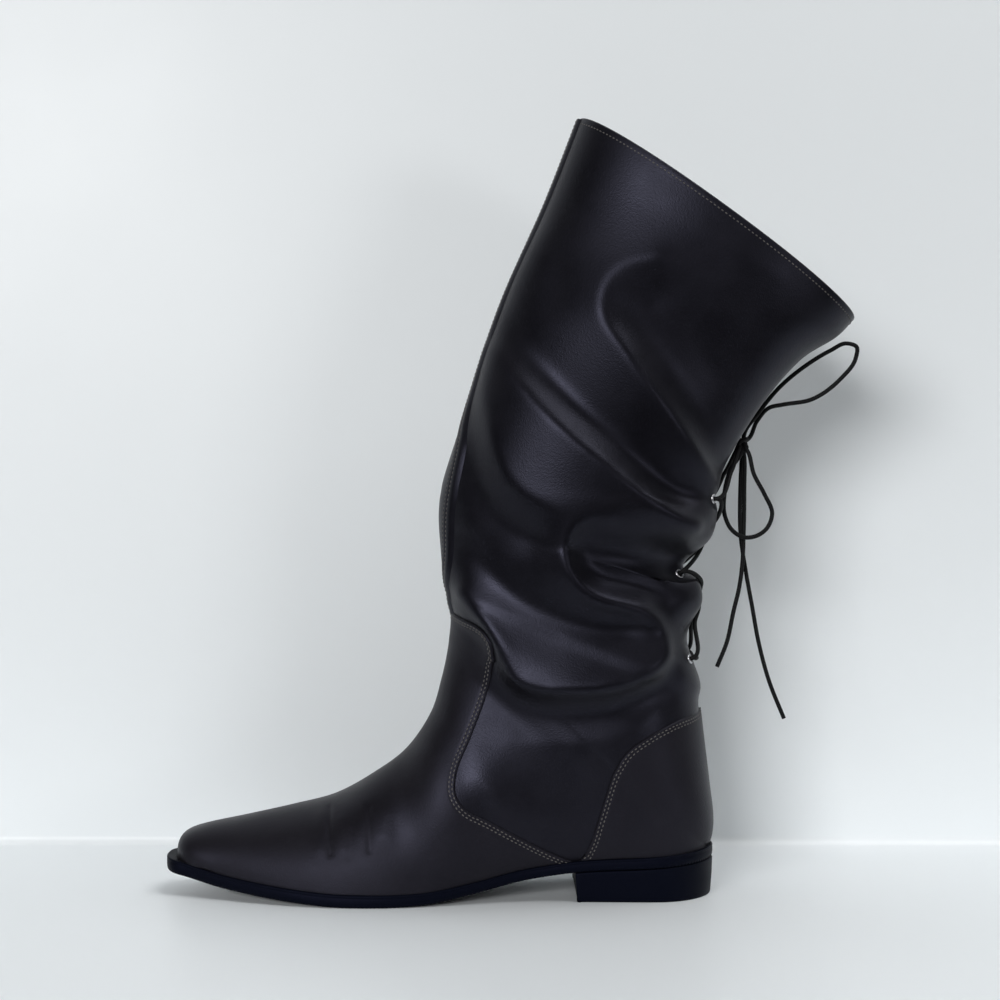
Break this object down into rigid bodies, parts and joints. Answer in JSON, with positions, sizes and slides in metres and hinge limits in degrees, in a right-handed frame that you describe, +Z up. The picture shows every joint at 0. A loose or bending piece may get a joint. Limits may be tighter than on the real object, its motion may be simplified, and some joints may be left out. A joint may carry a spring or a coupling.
{
  "type": "pointed toe boot",
  "caption": "Pull-on leather boot with a snipped pointed toe, low stacked heel, slouched leaning shaft, lapped vamp and heel counter, and lacing tied in a bow at the back.",
  "frame": {"origin": "on the floor under the middle of the heel's resting face", "axes": "+Z up, toe towards -X, outer side of the left foot towards -Y"},
  "size_m": [0.3551, 0.108, 0.3951],
  "materials": {
    "upper": "satin",
    "vamp": "satin",
    "counter": "satin",
    "sole": "matte",
    "heel": "matte",
    "insole": "matte",
    "eyelet": "polished",
    "lace": "matte"
  },
  "bodies": {
    "root": {"outsole": "sole", "heel_block": "heel", "insole": "insole", "upper": "upper", "vamp": "vamp", "heel_counter": "counter", "front_seam": "upper", "eyelet_outer_1": "eyelet", "eyelet_outer_2": "eyelet", "eyelet_outer_3": "eyelet", "eyelet_inner_1": "eyelet", "eyelet_inner_2": "eyelet", "eyelet_inner_3": "eyelet", "lace_crossings": "lace", "lace_knot": "lace", "lace_loop_up": "lace", "lace_loop_down": "lace", "lace_end_short": "lace", "lace_end_long": "lace"}
  },
  "joints": []
}
